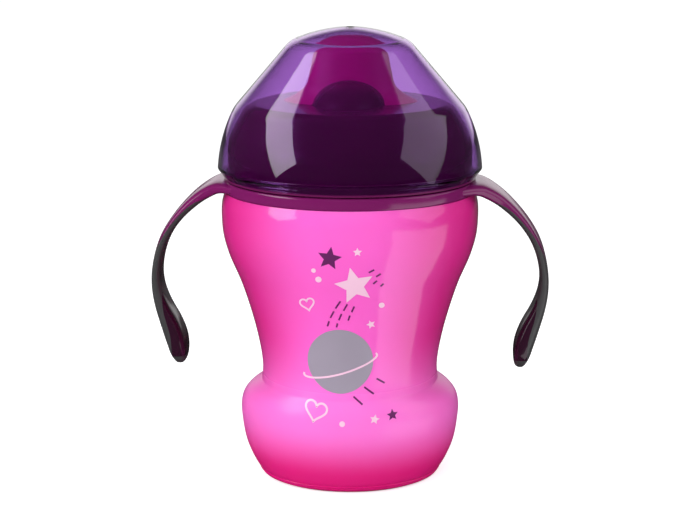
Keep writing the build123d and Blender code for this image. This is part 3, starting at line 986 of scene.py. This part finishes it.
# Room: its plain fill, its dimmest level in gloss, and the spans over which the backdrop in
# gloss brightens towards the back (Y) and fades upwards (Z).
ROOM_FILL = 0.50
ROOM_DIM = 0.04
ROOM_BACK_SPAN = (0.78, 0.97)
ROOM_LOW_SPAN = (0.50, 0.22)

LAMP_AIM = (0.0, 0.0, 0.09)
CARD_CORNERS = [(0.040, -0.066), (0.350, -0.425), (0.520, 0.060), (0.075, -0.017)]
CARD_HEIGHT = 0.0006
CARD_GLOW = 1.5


def seen_straight(nodes, links, path):
    """1 for the camera's own rays, through clear plastic too, but not after a bounce."""
    bounces = calc(nodes, links, "ADD", path.outputs["Glossy Depth"], path.outputs["Diffuse Depth"])
    direct = calc(nodes, links, "LESS_THAN", bounces, 0.5)
    through_clear = calc(nodes, links, "MULTIPLY", path.outputs["Is Transmission Ray"], direct)
    return calc(nodes, links, "MAXIMUM", path.outputs["Is Camera Ray"], through_clear)


def seen_in_gloss(nodes, links, path):
    """1 for rays that leave a glossy surface, through clear plastic too."""
    bounced = calc(nodes, links, "GREATER_THAN", path.outputs["Glossy Depth"], 0.5)
    return calc(nodes, links, "MAXIMUM", path.outputs["Is Glossy Ray"], bounced)


def make_floor():
    """A wide pale floor that shows white to the camera and through clear plastic, and keeps
    the object's shadow."""
    material = bpy.data.materials.new("floor_white")
    material.use_nodes = True
    nodes, links = material.node_tree.nodes, material.node_tree.links
    nodes.clear()
    output = nodes.new("ShaderNodeOutputMaterial")
    matt = nodes.new("ShaderNodeBsdfDiffuse")
    place = nodes.new("ShaderNodeNewGeometry")
    split = nodes.new("ShaderNodeSeparateXYZ")
    links.new(place.outputs["Position"], split.inputs["Vector"])
    path = nodes.new("ShaderNodeLightPath")
    behind = ramp(nodes, links, split.outputs["Y"], *FLOOR_SPAN)
    in_gloss = mix_color(nodes, links, behind, FLOOR_BEFORE, FLOOR_WHITE)
    gloss = seen_in_gloss(nodes, links, path)
    links.new(mix_color(nodes, links, gloss, FLOOR_WHITE, in_gloss), matt.inputs["Color"])
    lift = nodes.new("ShaderNodeEmission")
    level = calc(nodes, links, "MULTIPLY", seen_straight(nodes, links, path), FLOOR_LIFT)
    links.new(level, lift.inputs["Strength"])
    both = nodes.new("ShaderNodeAddShader")
    links.new(matt.outputs[0], both.inputs[0])
    links.new(lift.outputs[0], both.inputs[1])
    links.new(both.outputs[0], output.inputs["Surface"])
    builder = bmesh.new()
    bmesh.ops.create_grid(builder, x_segments=8, y_segments=8, size=FLOOR_HALF_SIZE)
    floor = new_piece("floor", builder, material)
    if floor.data.polygons[0].normal.z < 0:
        floor.data.flip_normals()
    return floor


def make_world():
    """A room that is white to the camera and through clear plastic. In gloss it is bright low
    behind the object and dim elsewhere, and as plain light it is a soft even fill."""
    world = bpy.data.worlds.new("studio")
    world.use_nodes = True
    bpy.context.scene.world = world
    nodes, links = world.node_tree.nodes, world.node_tree.links
    background = nodes["Background"]
    background.inputs["Color"].default_value = (1, 1, 1, 1)
    path = nodes.new("ShaderNodeLightPath")
    place = nodes.new("ShaderNodeTexCoord")
    split = nodes.new("ShaderNodeSeparateXYZ")
    links.new(place.outputs["Generated"], split.inputs["Vector"])
    behind = ramp(nodes, links, split.outputs["Y"], *ROOM_BACK_SPAN)
    low = ramp(nodes, links, split.outputs["Z"], *ROOM_LOW_SPAN)
    backdrop = calc(nodes, links, "MULTIPLY", behind, low)
    dim_room = calc(nodes, links, "MAXIMUM", backdrop, ROOM_DIM)
    fill = nodes.new("ShaderNodeMix")
    fill.inputs["A"].default_value = ROOM_FILL
    links.new(seen_in_gloss(nodes, links, path), fill.inputs["Factor"])
    links.new(dim_room, fill.inputs["B"])
    level = nodes.new("ShaderNodeMix")
    level.inputs["B"].default_value = 1.0
    links.new(seen_straight(nodes, links, path), level.inputs["Factor"])
    links.new(fill.outputs["Result"], level.inputs["A"])
    links.new(level.outputs["Result"], background.inputs["Strength"])


def softbox(name, towards, upright, distance, width, height, radiance, shiny=True):
    """A rectangular lamp: the direction in which it stands from the cup, its long axis, and
    whether gloss and clear plastic show it."""
    data = bpy.data.lights.new(name, "AREA")
    data.shape = "RECTANGLE"
    data.size = width
    data.size_y = height
    data.energy = radiance * pi * width * height
    lamp = bpy.data.objects.new(name, data)
    bpy.context.scene.collection.objects.link(lamp)
    outwards = Vector(towards).normalized()
    across = Vector(upright).cross(outwards).normalized()
    up = outwards.cross(across)
    lamp.matrix_world = Matrix((
        (across.x, up.x, outwards.x, 0), (across.y, up.y, outwards.y, 0), (across.z, up.z, outwards.z, 0),
        (0, 0, 0, 1),
    ))
    lamp.location = Vector(LAMP_AIM) + outwards * distance
    lamp.visible_glossy = shiny
    lamp.visible_transmission = shiny
    return lamp


def make_lamps():
    """Two long softboxes that lean over the cup from the sides, and a plain fill from the front."""
    softbox("softbox_left", (-0.80, -0.26, 0.50), (0.23, 0.76, 0.61), 0.60, 0.26, 0.70, 4.2)
    softbox("softbox_right", (0.87, -0.10, 0.46), (-0.23, 0.76, 0.61), 0.60, 0.44, 0.70, 1.1)
    softbox("fill_front", (0.02, -0.85, 0.45), (0, 0, 1), 0.80, 0.55, 0.50, 2.9, shiny=False)


def make_card():
    """A white card that lies to the right of the cup and shows only in its gloss."""
    material = bpy.data.materials.new("card_white")
    material.use_nodes = True
    nodes, links = material.node_tree.nodes, material.node_tree.links
    nodes.clear()
    output = nodes.new("ShaderNodeOutputMaterial")
    glow = nodes.new("ShaderNodeEmission")
    glow.inputs["Strength"].default_value = CARD_GLOW
    links.new(glow.outputs[0], output.inputs["Surface"])
    builder = bmesh.new()
    builder.faces.new([builder.verts.new((x, y, CARD_HEIGHT)) for x, y in CARD_CORNERS])
    card = new_piece("card", builder, material)
    card.visible_camera = False
    card.visible_diffuse = False
    card.visible_shadow = False
    card.visible_transmission = False
    return card


def make_camera():
    """The camera stands a little to the right of the front and above the cup."""
    data = bpy.data.cameras.new("camera")
    data.sensor_width = SENSOR_WIDTH
    data.lens = CAMERA_LENS
    camera = bpy.data.objects.new("camera", data)
    bpy.context.scene.collection.objects.link(camera)
    turn = radians(CAMERA_TURN)
    camera.location = (CAMERA_DISTANCE * sin(turn), -CAMERA_DISTANCE * cos(turn), CAMERA_HEIGHT)
    camera.rotation_euler = (radians(90 - CAMERA_PITCH), 0, turn)
    bpy.context.scene.camera = camera


make_camera()
make_world()
make_lamps()
make_floor()
make_card()
make_cup_body()
make_print()
make_handle_ring()
make_grips()
make_lid()
make_spout()
make_overcap()
finish_hidden_pieces()

bpy.context.scene.view_settings.view_transform = "Standard"
